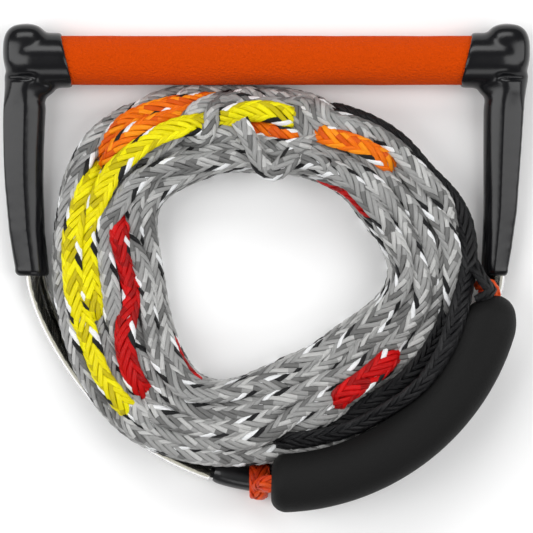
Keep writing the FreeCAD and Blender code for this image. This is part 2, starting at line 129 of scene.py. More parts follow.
# Each plan is a list of (angle, radius, level); the angle runs on from turn to turn.
BLACK_PLAN = [
    (-8, 120, 0.5), (10, 117, 0.3), (268, 101, 0.3), (280, 103, 0.9), (293, 106, 1.3), (310, 112, 1.3),
    (327, 119, 1.2), (339, 123, 1.1), (349, 125, 0.9), (360, 126, 0.7), (374, 129, 0.7), (384, 126, 0.7),
    (392, 120, 0.7), (405, 118, 0.7), (418, 114, 0.7), (426, 110, 0.7), (433, 100, 0.3), (640, 100, 0.3),
    (660, 101, 0.5), (672, 103, 1.0), (687, 110, 1.1), (699, 114, 1.1), (709, 117, 1.0), (716, 117, 0.7),
    (725, 112, 0.4), (742, 100, 0.3),
]
ORANGE_PLAN = [
    (22, 104, 0.3), (35, 105, 0.4), (40, 105, 1.2), (47, 102, 1.7), (54, 100, 1.9), (61, 96, 1.9),
    (70, 95, 1.7), (75, 96, 0.4), (100, 112, 0.4), (106, 114, 1.3), (111, 115, 1.6), (118, 120, 1.8),
    (126, 125, 1.8), (133, 129, 1.8), (141, 127, 1.6), (147, 121, 0.5), (160, 108, 0.3),
    (429, 90, 0.3), (437, 86, 1.2), (442, 87, 1.4), (450, 90, 1.5), (457, 93, 1.2), (462, 97, 0.4),
    (468, 104, 0.4), (474, 109, 1.3), (479, 112, 1.6), (486, 116, 1.7), (494, 119, 1.7), (501, 118, 1.5),
    (506, 117, 0.5), (518, 106, 0.3), (1102, 95, 0.3),
]
YELLOW_PLAN = [
    (22, 95, 0.3), (76, 98, 0.4), (81, 99, 1.1), (88, 102, 1.5), (96, 102, 1.4), (101, 101, 0.9),
    (108, 101, 0.6), (112, 102, 0.9), (119, 105, 1.5), (126, 108, 1.5), (135, 111, 1.5), (145, 113, 1.5),
    (154, 112, 1.5), (166, 111, 1.5), (181, 108, 1.5), (190, 107, 1.3), (198, 105, 0.5), (210, 98, 0.3),
    (498, 110, 0.3), (504, 120, 0.6), (510, 122, 1.6), (526, 121, 1.6), (541, 117, 1.6), (551, 115, 1.6),
    (561, 114, 1.7), (571, 117, 1.7), (580, 117, 1.6), (586, 117, 1.2), (590, 115, 0.4), (1102, 95, 0.3),
]
RED_PLAN = [
    (22, 86, 0.4), (27, 82, 0.7), (36, 75, 0.85), (46, 70, 0.8), (51, 70, 0.4), (150, 96, 0.4),
    (156, 96, 1.1), (162, 94, 1.4), (173, 86, 1.5), (187, 81, 1.5), (197, 88, 1.5), (206, 95, 1.5),
    (213, 99, 1.4), (221, 103, 1.1), (225, 104, 0.4), (562, 80, 0.3),
    (568, 70, 0.7), (573, 69, 0.8), (585, 69, 0.8), (596, 71, 0.75), (602, 76, 0.3),
    (1017, 88, 0.3), (1022, 88, 1.3), (1029, 88, 1.9), (1037, 90, 2.1), (1045, 92, 1.9), (1051, 94, 1.2),
    (1056, 97, 0.3), (1102, 94, 0.3),
]
GREY_TURNS = 26
GREY_END = 11  # steps past the last whole turn
# Where the mainline's late turns cross over the rest, by turn.
GREY_OVER = {
    24: [
        (80, 108, 1.1), (88, 110, 1.9), (95, 112, 2.1), (103, 111, 2.2), (110, 109, 2.2), (117, 103, 2.2),
        (125, 101, 1.9), (140, 102, 1.3), (155, 103, 1.1),
    ],
    26: [(22, 90, 1.2), (45, 86, 1.4), (77, 80, 1.4)],
}
PLANS = {"black": BLACK_PLAN, "orange": ORANGE_PLAN, "yellow": YELLOW_PLAN, "red": RED_PLAN}
SECTION_STEPS = {
    "black": 150, "orange": 216, "yellow": 216, "red": 216, "grey": GREY_TURNS * TURN_STEPS + GREY_END,
}
LOW_LEVEL = 0.35  # coloured ropes planned under this level keep to the coil's middle
HELD_LEVEL = 0.62  # coloured ropes planned over this level keep their planned place
EDGE_ROOM = 4.5  # how far inside the handle section's outer turn the other ropes keep, in millimetres
COLUMNS = 6  # turns side by side in one row of the mainline
SETTLE_STEPS = 420
TOUCHING = 0.93  # how close two ropes' middles may come, as a share of a rope's width
SWING_ROOM = 116.5  # how far from the bar's hinge a rope's middle may stand, in millimetres

# The handle section's end at the float, and the mainline's folded end at the coil's inner edge.
BLACK_EYE = [
    (0.1285, -0.0200, 0.0390), (0.1335, -0.0180, 0.0420), (0.1366, -0.0140, 0.0415),
    (0.1330, -0.0110, 0.0405), (0.1290, -0.0040, 0.0370),
]
BOAT_EYE = [
    (0.0160, 0.0675, 0.0440), (0.0095, 0.0600, 0.0435), (0.0045, 0.0560, 0.0430), (-0.0005, 0.0575, 0.0430),
    (-0.0045, 0.0640, 0.0435), (-0.0095, 0.0755, 0.0450), (-0.0160, 0.0880, 0.0440),
]


def smooth_noise(count, seed, waves):
    """Smooth seeded wandering along a line of count steps: waves are (amplitude, steps per wave)."""
    random = np.random.default_rng(seed)
    steps = np.arange(count)
    return sum(a * np.sin(2 * np.pi * steps / p + random.uniform(0, 2 * np.pi)) for a, p in waves)


def closed_outline(values, degrees):
    """A smooth closed outline through evenly spaced values, read at these angles."""
    terms = np.fft.rfft(values) / len(values)
    terms[1:] *= 2
    terms[-1] /= 2
    turns = np.radians(degrees)[:, None] * np.arange(len(terms))
    return (terms.real * np.cos(turns) - terms.imag * np.sin(turns)).sum(axis=1)


def planned(plan, middle):
    """Radius and level at each step of a given plan. Low down, a rope keeps to the coil's middle."""
    angles, radii, levels = np.array(plan, float).T
    count = len(middle)
    at = angles[0] + np.arange(count) * 360 / TURN_STEPS
    level = np.interp(at, angles, levels)
    seen = np.clip((level - LOW_LEVEL) / 0.15, 0, 1)
    return middle + seen * (np.interp(at, angles, radii) * 0.985 - middle), level


def grey_plan(count, inner, outer, first_section):
    """The mainline's turns fill the coil row by row from the floor, wandering as hand-wound turns do."""
    turn = np.arange(count) / TURN_STEPS
    row, place = np.divmod(turn / COLUMNS, 1)
    across = np.where(row % 2 == 0, place, 1 - place)
    across = across + smooth_noise(count, 3, [(0.10, 61), (0.09, 97), (0.06, 37)])
    level = row / 4.0 + 0.1 + smooth_noise(count, 4, [(0.10, 83), (0.08, 47)])
    sections = (first_section + np.arange(count)) % TURN_STEPS
    radius = inner[sections] + (outer - inner)[sections] * np.clip(across, 0, 1)
    held = np.zeros(count)
    for over, plan in GREY_OVER.items():
        angles, radii, levels = np.array(plan, float).T
        start = sections[0] * 360 / TURN_STEPS + FIRST_ANGLE
        at = start + (np.arange(count) - over * TURN_STEPS) * 360 / TURN_STEPS
        weight = np.interp(at, [angles[0] - 15, angles[0], angles[-1], angles[-1] + 15], [0, 1, 1, 0])
        radius = radius * (1 - weight) + np.interp(at, angles, radii) * weight
        level = level * (1 - weight) + np.interp(at, angles, levels) * weight
        held = np.maximum(held, weight)
    return radius, level, held


def by_section(values):
    """Values along the line as a table: a row for each section round the coil, a column for each turn."""
    turns = -(-len(values) // TURN_STEPS)
    return np.pad(values, (0, turns * TURN_STEPS - len(values))).reshape(turns, TURN_STEPS).T


def settle(radius, level, held, room, obstacles, inner, outer, angles):
    """Lets the planned turns sink and push one another aside. Returns radius and height in millimetres."""
    count = len(radius)
    real = by_section(np.ones(count)) > 0
    width = ROPE_WIDTH / MM * TOUCHING
    floor = ROPE_HEIGHT / MM / 2
    r = radius.copy()
    z = 3.0 + level * COIL_HEIGHT * 1.7
    home = radius.copy()
    # The coil's top rounds off at its edges, but less where the float holds it in.
    float_distance = obstacles[1][0][0]
    beside_float = np.tile(np.clip((500 - float_distance) / 100, 0, 1), 3)
    blurred = np.convolve(beside_float, np.ones(7) / 7, "same")[TURN_STEPS:2 * TURN_STEPS]
    round_off = 8 - 6 * blurred
    sines = np.sin(np.radians(angles))
    planned_z = z.copy()
    # Only the ropes that are planned highest may lie against the lid or close to the swinging bar.
    lid = LID - 7 * np.clip(2.1 - level, 0, 1.1)
    swing_reach = np.maximum(by_section(SWING_ROOM - 6 * np.clip(1.9 - level, 0, 1)), 1)
    room = by_section(room)
    weight = by_section(1 + 12 * held)
    yielding = weight[:, None, :] / (weight[:, :, None] + weight[:, None, :] + 1e-6)
    for step in range(SETTLE_STEPS):
        late = step / SETTLE_STEPS
        # Stiffness: each rope straightens, its height only about the height that was planned.
        for line, memory in ((r, 0 * r), (z, max(0.16, 1 - late / 0.6) * planned_z)):
            bend = line - memory
            line[1:-1] += (0.42 - 0.2 * late) * ((bend[:-2] + bend[2:]) / 2 - bend[1:-1])
        # Weight, the lid as it comes down, and the pull of the planned place.
        z -= 0.55 * (1 - 0.7 * late)
        z = np.minimum(z, lid + 200 * (1 - late) ** 2)
        r += (0.8 * held + 0.015) * (home - r)
        grid_r = by_section(r)
        grid_z = by_section(z)
        for _ in range(2):
            push_apart(grid_r, grid_z, real, yielding, width)
            for place, clear in obstacles:
                keep_clear(grid_r, grid_z, place, clear)
            shoulder = np.clip(grid_z / COIL_HEIGHT, 0, 1.1) ** 4
            low = inner[:, None] + width / 2 + 7 * shoulder
            high = outer[:, None] - room - width / 2 - round_off[:, None] * shoulder
            grid_r[:] = np.clip(grid_r, low, high)
            clear_swing(grid_r, grid_z, sines, swing_reach)
            grid_z[:] = np.maximum(grid_z, floor)
        r = grid_r.T.ravel()[:count].copy()
        z = grid_z.T.ravel()[:count].copy()
    return r, z


def push_apart(grid_r, grid_z, real, yielding, width):
    """Moves the turns that overlap in each section apart; the upper one of two gives way more."""
    squash = width / (ROPE_HEIGHT / MM)
    turns = np.arange(grid_r.shape[1])
    across = grid_r[:, :, None] - grid_r[:, None, :]
    up = (grid_z[:, :, None] - grid_z[:, None, :]) * squash
    apart = np.sqrt(across ** 2 + up ** 2) + 1e-6
    touch = (apart < width) & real[:, :, None] & real[:, None, :]
    touch[:, turns, turns] = False
    push = np.where(touch, (width - apart) / apart, 0)
    share = np.where(up > 0, 0.62, 0.38)
    crowd = np.maximum(touch.sum(axis=2) / 2.2, 1)
    grid_r += (push * across * yielding).sum(axis=2) / crowd
    grid_z += (push * up * share).sum(axis=2) / crowd / squash


def clear_swing(grid_r, grid_z, sines, swing_reach):
    """Lowers the turns that stand in the bar's way as it swings up."""
    reach = COIL_CENTRE.y / MM + grid_r * sines[:, None] - PIVOT_Y / MM
    rise = grid_z - PIVOT_Z / MM
    over = np.sqrt(reach ** 2 + rise ** 2) / swing_reach
    far = (over > 1) & (reach > 0) & (rise > 0)
    grid_z[:] = np.where(far, PIVOT_Z / MM + rise / over ** 3, grid_z)


def keep_clear(grid_r, grid_z, place, clear):
    """Pushes turns out of a round obstacle: place is (radius, height) per section, clear its half sizes."""
    across = (grid_r - place[0][:, None]) / clear[0]
    up = (grid_z - place[1][:, None]) / clear[1]
    apart = np.sqrt(across ** 2 + up ** 2) + 1e-6
    inside = apart < 1
    grid_r[:] = np.where(inside, place[0][:, None] + across / apart * clear[0], grid_r)
    grid_z[:] = np.where(inside, place[1][:, None] + up / apart * clear[1], grid_z)


def seen_from_coil(points, angles):
    """Radius and height of a line at each angle round the coil's centre, or far off where it has none."""
    flat = (np.array(points) - np.array(COIL_CENTRE)) / MM
    around = np.degrees(np.arctan2(flat[:, 1], flat[:, 0]))
    around = np.degrees(np.unwrap(np.radians(around)))
    order = np.argsort(around)
    distance = np.hypot(flat[:, 0], flat[:, 1])
    result = []
    for values, none in ((distance, 1000.0), (flat[:, 2], 0.0)):
        best = np.full(len(angles), none)
        for shift in (-360, 0, 360):
            found = np.interp(angles + shift, around[order], values[order], left=np.nan, right=np.nan)
            best = np.where(np.isnan(found), best, found)
        result.append(best)
    return result


def float_line():
    """The float's middle line."""
    turns = np.radians(np.linspace(FLOAT_START, FLOAT_START + FLOAT_SWEEP, 40))
    line = np.stack([np.cos(turns), np.sin(turns), np.zeros(40)], axis=1) * FLOAT_ARC
    return line + np.array(FLOAT_CENTRE)


def wound_line():
    """Control points of the whole line, cut into its sections."""
    angles = FIRST_ANGLE + np.arange(TURN_STEPS) * 360 / TURN_STEPS
    inner = closed_outline(HOLE, angles)
    outer = closed_outline(OUTLINE, angles)
    right_edge = np.cos(np.radians(angles - 30)) > 0.76
    radii = []
    levels = []
    holds = []
    rooms = []
    done = 0
    for colour, count in SECTION_STEPS.items():
        sections = (done + np.arange(count)) % TURN_STEPS
        if colour in PLANS:
            radius, level = planned(PLANS[colour], (inner + outer)[sections] / 2)
            held = np.clip((level - HELD_LEVEL) * 5, 0, 1)
        else:
            radius, level, held = grey_plan(count, inner + 5, outer - 5, done % TURN_STEPS)
        radii.append(radius)
        levels.append(level)
        holds.append(held)
        rooms.append(EDGE_ROOM * right_edge[sections] * (colour != "black"))
        done += count
    bridle = route_line(BRIDLE_ROUTE[2:-2])
    rope = ROPE_WIDTH / MM / 2, ROPE_HEIGHT / MM / 2
    hose = HOSE_OUTER / MM / 2
    banana = FLOAT_RADIUS / MM
    obstacles = [
        (seen_from_coil(bridle, angles), (hose + rope[0], hose + rope[1])),
        (seen_from_coil(float_line(), angles), (banana + rope[0], banana + rope[1])),
    ]
    parts = (np.concatenate(part) for part in (radii, levels, holds, rooms))
    r, z = settle(*parts, obstacles, inner, outer, angles)
    turn = np.radians(FIRST_ANGLE + np.arange(len(r)) * 360 / TURN_STEPS)
    points = np.stack([r * np.cos(turn), r * np.sin(turn), z], axis=1) * MM + np.array(COIL_CENTRE)
    sections = {}
    done = 0
    for colour, count in SECTION_STEPS.items():
        sections[colour] = points[max(done - 1, 0):done + count]
        done += count
    sections["black"] = np.concatenate([BLACK_EYE, sections["black"][4:]])
    sections["grey"] = np.concatenate([sections["grey"], BOAT_EYE])
    return sections


# ---- lines, frames and braids ----

def route_line(points, step=None):
    """The smooth line of a route: points read from its NURBS spline, evenly spaced if step is given."""
    data = bpy.data.curves.new("route", "CURVE")
    data.dimensions = "3D"
    spline = data.splines.new("NURBS")
    spline.points.add(len(points) - 1)
    for place, point in zip(spline.points, points):
        place.co = (*point, 1)
    spline.order_u = 3
    spline.use_endpoint_u = True
    spline.resolution_u = 6
    holder = bpy.data.objects.new("route", data)
    bpy.context.scene.collection.objects.link(holder)
    mesh = bpy.data.meshes.new_from_object(holder.evaluated_get(bpy.context.evaluated_depsgraph_get()))
    line = np.zeros(len(mesh.vertices) * 3)
    mesh.vertices.foreach_get("co", line)
    line = line.reshape(-1, 3)
    bpy.data.objects.remove(holder)
    bpy.data.meshes.remove(mesh)
    bpy.data.curves.remove(data)
    return line if step is None else evenly(line, step)


def line_length(line):
    """Length of a line of points."""
    return float(np.linalg.norm(np.diff(line, axis=0), axis=1).sum())


def evenly(line, step):
    """The same line with points about a step apart."""
    along = np.concatenate([[0], np.cumsum(np.linalg.norm(np.diff(line, axis=0), axis=1))])
    at = np.linspace(0, along[-1], max(int(along[-1] / step), 4) + 1)
    return np.stack([np.interp(at, along, line[:, axis]) for axis in range(3)], axis=1)


def unit(vectors):
    return vectors / (np.linalg.norm(vectors, axis=-1, keepdims=True) + 1e-12)


def tangents(line):
    return unit(np.gradient(line, axis=0))


def cross_frames(line, facing):
    """Side and face directions along a line, the face as near to facing as the line allows."""
    along = tangents(line)
    face = unit(facing - (facing * along).sum(axis=1, keepdims=True) * along)
    side = np.cross(along, face)
    return side, face


def coil_facing(line):
    """Which way the flat side of a wound rope looks: up, and leaning at the coil's shoulders."""
    flat = line[:, :2] - np.array(COIL_CENTRE)[:2]
    distance = np.hypot(flat[:, 0], flat[:, 1])
    angles = np.degrees(np.arctan2(flat[:, 1], flat[:, 0]))
    middle = (closed_outline(HOLE, angles) + closed_outline(OUTLINE, angles)) / 2 * MM
    reach = (closed_outline(OUTLINE, angles) - closed_outline(HOLE, angles)) / 2 * MM
    lean = np.clip((distance - middle) / reach, -1, 1)
    tilt = np.sign(lean) * np.abs(lean) ** 2.5 * math.radians(48)
    out = flat / distance[:, None]
    return np.column_stack([out * np.sin(tilt)[:, None], np.cos(tilt)])


def rolled(side, face, angle):
    """The cross-section's directions, rolled about the line."""
    cosine = np.cos(angle)[:, None]
    sine = np.sin(angle)[:, None]
    return side * cosine + face * sine, face * cosine - side * sine


def ring_quads(count, around, base=0):
    """Quads that join each ring of points to the next one."""
    ring = np.arange(around)
    first = base + np.arange(count - 1)[:, None] * around + ring
    after = base + np.arange(count - 1)[:, None] * around + (ring + 1) % around
    return np.stack([first, after, after + around, first + around], axis=-1).reshape(-1, 4)


def braid(name, line, side, face, width, height, palette, seed=1):
    """A hollow braid: strands both ways that pass over and under each other round a flattened tube.

    palette holds the rope's colour, its two tracers, and its painted shade and painted highlight tones.
    """
    random = np.random.default_rng(seed)
    count = len(line)
    along = np.arange(count) * line_length(line) / (count - 1)
    strand_half = 0.15 * width
    strand_thick = 0.14 * height
    breath = 1 + smooth_noise(count, seed, [(0.06, 19), (0.05, 47)])
    half_width = ((width / 2 - strand_thick) * breath)[:, None]
    half_height = ((height / 2 - 1.6 * strand_thick) / breath)[:, None]
    weave = 0.95 * strand_thick
    section = np.array([(-1.0, -0.1), (-0.55, 0.8), (0.55, 0.8), (1.0, -0.1), (0.0, -0.9)])
    corners = len(section)
    points = []
    threads = []
    faces = []
    kinds = []
    for way in (1, -1):
        for strand in range(STRANDS):
            turn = way * 2 * np.pi * along / ROPE_PITCH + 2 * np.pi * strand / STRANDS
            turn = turn + smooth_noise(count, 20 + strand + 10 * way, [(0.05, 13), (0.04, 29)])
            cosine = np.cos(turn)[:, None]
            sine = np.sin(turn)[:, None]
            centre = side * half_width * cosine + face * half_height * sine
            outward = unit(side * cosine / half_width + face * sine / half_height)
            centre = line + centre + outward * (way * weave * np.cos(2 * turn + 0.5))[:, None]
            across = unit(np.cross(tangents(centre), outward))
            rings = (
                centre[:, None, :]
                + across[:, None, :] * section[None, :, 0:1] * strand_half
                + outward[:, None, :] * section[None, :, 1:2] * strand_thick
            )
            faces.append(ring_quads(count, corners, len(points) * count * corners))
            points.append(rings.reshape(-1, 3))
            thread = np.zeros((count, corners, 3))
            thread[:, :, 0] = section[:, 0] * 3
            thread[:, :, 1] = along[:, None] / (8 * MM)
            thread[:, :, 2] = way * (strand + 1.0) * 7
            threads.append(thread.reshape(-1, 3))
            # Each hump of a strand takes at random the rope's colour, its painted shade tone or its painted
            # highlight tone.
            cycle = ((2 * turn[:-1] + 0.5 - np.pi) // (2 * np.pi)).astype(int)
            tone = random.choice([0, 0, 3, 4], size=cycle.max() - cycle.min() + 1)[cycle - cycle.min()]
            if way == 1 and strand < 2:
                tone[:] = 1 + strand
            kinds.append(np.repeat(tone, corners))
    points = np.concatenate(points)
    points[:, 2] = np.maximum(points[:, 2], ON_FLOOR)
    mesh = mesh_from(name, points, np.concatenate(faces))
    for material in palette:
        mesh.materials.append(material)
    mesh.polygons.foreach_set("material_index", np.concatenate(kinds).astype(np.int32))
    thread = mesh.attributes.new("thread", "FLOAT_VECTOR", "POINT")
    thread.data.foreach_set("vector", np.concatenate(threads).astype(np.float32).ravel())
    return placed(name, mesh)


def mesh_from(name, points, quads):
    """A smooth-shaded mesh of quads from arrays."""
    mesh = bpy.data.meshes.new(name)
    mesh.vertices.add(len(points))
    mesh.vertices.foreach_set("co", points.astype(np.float32).ravel())
    mesh.loops.add(quads.size)
    mesh.loops.foreach_set("vertex_index", quads.astype(np.int32).ravel())
    mesh.polygons.add(len(quads))
    mesh.polygons.foreach_set("loop_start", np.arange(0, quads.size, 4, dtype=np.int32))
    mesh.polygons.foreach_set("use_smooth", np.ones(len(quads), bool))
    mesh.update(calc_edges=True)
    mesh.validate()
    return mesh


def placed(name, mesh):
    """A new object of the scene."""
    item = bpy.data.objects.new(name, mesh)
    bpy.context.scene.collection.objects.link(item)
    return item


def tube(name, line, radii, material, around=32, inner=None):
    """A round tube along a line. radii is one radius or one per point; inner makes it hollow."""
    side, face = cross_frames(line, np.tile(UP, (len(line), 1)))
    radii = np.broadcast_to(np.asarray(radii, float), (len(line),))
    turns = np.linspace(0, 2 * np.pi, around, endpoint=False)
    spokes = np.cos(turns)[:, None] * side[:, None, :] + np.sin(turns)[:, None] * face[:, None, :]
    rings = line[:, None, :] + spokes * radii[:, None, None]
    if inner is not None:
        hollow = line[:, None, :] + spokes * inner
        rings = np.concatenate([rings, hollow[::-1], rings[:1]])
    else:
        ends = [np.repeat(end[:, None], around, 1) for end in (line[:1], line[-1:])]
        rings = np.concatenate([ends[0], rings, ends[1]])
    mesh = mesh_from(name, rings.reshape(-1, 3), ring_quads(len(rings), around))
    mesh.materials.append(material)
    return placed(name, mesh)


# ---- materials ----

def principled(name, colour, roughness, **inputs):
    """A Principled material; inputs are more of its sockets, with _ for each space."""
    material = bpy.data.materials.new(name)
    material.use_nodes = True
    shader = material.node_tree.nodes["Principled BSDF"]
    shader.inputs["Base Color"].default_value = (*colour, 1)
    shader.inputs["Roughness"].default_value = roughness
    for socket, value in inputs.items():
        shader.inputs[socket.replace("_", " ")].default_value = value
    return material


def noise_relief(material, vector, scale, detail, depth):
    """Relief from noise read at a vector socket, as the material's displacement."""
    tree = material.node_tree
    noise = tree.nodes.new("ShaderNodeTexNoise")
    noise.inputs["Scale"].default_value = scale
    noise.inputs["Detail"].default_value = detail
    relief = tree.nodes.new("ShaderNodeDisplacement")
    relief.inputs["Scale"].default_value = depth
    tree.links.new(vector, noise.inputs["Vector"])
    tree.links.new(noise.outputs["Fac"], relief.inputs["Height"])
    tree.links.new(relief.outputs["Displacement"], tree.nodes["Material Output"].inputs["Displacement"])
    return material


def grained(material, scale, depth, detail=4.0, stretch=(1, 1, 1)):
    """A moulded or napped surface: fine grain in the object's own space."""
    tree = material.node_tree
    place = tree.nodes.new("ShaderNodeTexCoord")
    mapping = tree.nodes.new("ShaderNodeMapping")
    mapping.inputs["Scale"].default_value = stretch
    tree.links.new(place.outputs["Object"], mapping.inputs["Vector"])
    return noise_relief(material, mapping.outputs["Vector"], scale, detail, depth)


def filament(name, colour, roughness=0.36, shine=0.24):
    """Glossy polyethylene filament: fine lines of relief along each strand."""
    material = principled(name, colour, roughness, Specular_IOR_Level=shine)
    thread = material.node_tree.nodes.new("ShaderNodeAttribute")
    thread.attribute_name = "thread"
    return noise_relief(material, thread.outputs["Vector"], 1.6, 3.0, 0.9 * MM)


def rope_palette(name, colour, shade, light):
    """A braid's materials, in the order that braid() reads them: the colour, two tracers, then a darker copy
    as painted shade and a lighter copy as painted highlight.
    """
    tones = [filament(f"{name}_shaded", shade), filament(f"{name}_light", light)]
    return [filament(name, colour), TRACER_BLACK, TRACER_WHITE] + tones


TRACER_BLACK = filament("tracer_black", (0.004, 0.004, 0.005), 0.4, 0.3)
TRACER_WHITE = filament("tracer_white", (0.86, 0.87, 0.88), 0.42)
BLACK_FILAMENT = filament("black_filament", (0.008, 0.008, 0.009), 0.4, 0.35)
# The second and third colour of each rope's palette are painted shade and painted highlight: darker and
# lighter copies of the rope's colour.
ROPE_COLOURS = {
    "grey": rope_palette(
        "grey_filament", (0.33, 0.33, 0.325), (0.16, 0.16, 0.157), (0.52, 0.52, 0.51)
    ),
    "yellow": rope_palette(
        "yellow_filament", (0.79, 0.69, 0.0), (0.54, 0.45, 0.0), (0.88, 0.80, 0.001)
    ),
    "orange": rope_palette(
        "orange_filament", (0.84, 0.165, 0.001), (0.68, 0.095, 0.001), (0.94, 0.29, 0.004)
    ),
    "red": rope_palette(
        "red_filament", (0.50, 0.0005, 0.001), (0.32, 0.0005, 0.001), (0.60, 0.002, 0.003)
    ),
    "black": [TRACER_BLACK] * 3 + [BLACK_FILAMENT, TRACER_BLACK],
    # The float rope's last two materials are painted shade and painted highlight: darker and lighter copies
    # of its orange.
    "float_rope": [filament("hitch_filament", (0.70, 0.055, 0.004))] * 3
    + [filament("hitch_painted_shade", (0.55, 0.035, 0.003)), filament("hitch_painted_highlight", (0.76, 0.08, 0.006))],
}
VINYL = grained(principled("guard_gloss", (0.004, 0.004, 0.005), 0.22, IOR=1.4), 40, 0.0002)
SLEEVE = grained(principled("sleeve_gloss", (0.006, 0.006, 0.007), 0.28), 90, 0.0003)
FOAM = grained(principled("float_grain", (0.008, 0.008, 0.008), 0.6, IOR=1.22), 900, 0.0003)
HOSE = grained(
    principled("hose_clear", (0.68, 0.66, 0.56), 0.14, Transmission_Weight=1.0, IOR=1.22),
    50, 0.0004,
)
SUEDE = grained(
    principled("grip_suede", (0.62, 0.060, 0.001), 0.95, Sheen_Weight=0.015, Specular_IOR_Level=0.04),
    800, 0.0022, 6.0,
)
PLUG = grained(principled("plug_foam_grain", (0.75, 0.73, 0.68), 0.9), 700, 0.0006)
TUBE = grained(
    principled("tube_metal", (0.60, 0.61, 0.63), 0.35, Metallic=1.0),
    400, 0.0004, 2.0, (0.02, 1, 1),
)
FLOOR = principled("floor_pale", (0.93, 0.93, 0.93), 0.8)


# ---- pieces ----

# Each guard's leg: (place along Y, inner edge, outer edge) in millimetres, the edges measured from the
# bar's middle.
LEG_EDGES = {
    "left": [
        (-1, 133.5, 155.4), (22, 136.0, 158.6), (50, 137.0, 160.7), (71, 136.5, 161.3), (112, 134.2, 161.2),
    ],
    "right": [
        (-1, 132.0, 148.6), (10, 132.4, 150.7), (34, 133.2, 154.1), (83, 133.0, 157.0), (112, 133.2, 159.0),
    ],
}
FOLD_Y = 115.6 * MM
ON_FLOOR = 0.1 * MM  # no strand lies lower than this
WIDER = {"yellow": 1.14, "orange": 1.1, "red": 1.12}  # braids that lie flatter than the grey one
NODES = {
    "black": ("handle_section_coil", "black_braid"),
    "orange": ("orange_section_coil", "orange_braid"),
    "yellow": ("yellow_section_coil", "yellow_braid"),
    "red": ("red_section_coil", "red_braid"),
    "grey": ("mainline_coil", "grey_braid"),
}


def line_sections():
    """The coiled line: each section starts where the one before it ends."""
    for colour, points in wound_line().items():
        line = route_line(points, BRAID_STEP)
        side, face = cross_frames(line, coil_facing(line))
        seed = len(colour)
        roll = smooth_noise(len(line), seed, [(0.16, 57), (0.12, 23), (0.10, 131)])
        side, face = rolled(side, face, roll)
        width = ROPE_WIDTH * WIDER.get(colour, 1.0)
        piece = braid(f"{colour}_line", line, side, face, width, ROPE_HEIGHT, ROPE_COLOURS[colour], seed=seed)
        node, slot = NODES[colour]
        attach(piece, "bridle")
        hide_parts(node)


def end_guard(side, sign):
    """A moulded guard: the CAD shape with a squarer head, soft where its parts meet, and a fold."""
    node = f"{side}_end_guard"
    piece = placed(f"{side}_guard_moulding", frame["nodes"][node].data.copy())
    head = Vector((sign * 147.4, 132.0, 17.2)) * MM
    heel = Vector((sign * 134.5, 109.0, 16.0)) * MM
    extras = [
        rounded_block(f"{side}_head", head, Vector((14.0, 16.6, 15.0)) * MM, 2.8),
        rounded_block(f"{side}_heel", heel, Vector((4.6, 6.0, 9.0)) * MM, 2.2),
    ]
    join([piece] + extras)
    for kind, values in (
        ("REMESH", {"mode": "VOXEL", "voxel_size": 0.7 * MM}),
        ("SMOOTH", {"factor": 0.9, "iterations": 30}),
    ):
        change = piece.modifiers.new(kind.lower(), kind)
        for name, value in values.items():
            setattr(change, name, value)
    apply_all(piece)
    co = vertex_array(piece.data)
    shape_leg(co, sign, LEG_EDGES[side])
    move_vertices(piece.data, co)
    joint = piece.vertex_groups.new(name="joint")
    for index, weight in enumerate(bump(co[:, 1], 0.107, 0.011)):
        if weight > 0.02:
            joint.add([index], weight, "REPLACE")
    relax = piece.modifiers.new("relax", "SMOOTH")
    relax.factor = 0.9
    relax.iterations = 26
    relax.vertex_group = joint.name
    apply_all(piece)
    co = vertex_array(piece.data)
    out = sign * co[:, 0]
    upper = np.clip((co[:, 2] - 0.016) / 0.006, 0, 1)
    groove = bump(co[:, 1], FOLD_Y, 0.0018) * ramp(out, 0.138, 0.145) * (1 - 0.5 * ramp(out, 0.154, 0.160))
    co[:, 2] -= 2.4 * MM * groove * upper
    move_vertices(piece.data, co)
    soften = piece.modifiers.new("soften", "SMOOTH")
    soften.factor = 0.7
    soften.iterations = 6
    apply_all(piece)
    dress(piece, VINYL)
    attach(piece, "bar")
    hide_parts(node)


def ramp(values, start, end):
    """Rises smoothly from 0 at start to 1 at end."""
    share = np.clip((values - start) / (end - start), 0, 1)
    return share * share * (3 - 2 * share)


def bump(values, middle, width):
    """A bell of height 1 round the middle."""
    return np.exp(-((values - middle) / width) ** 2)


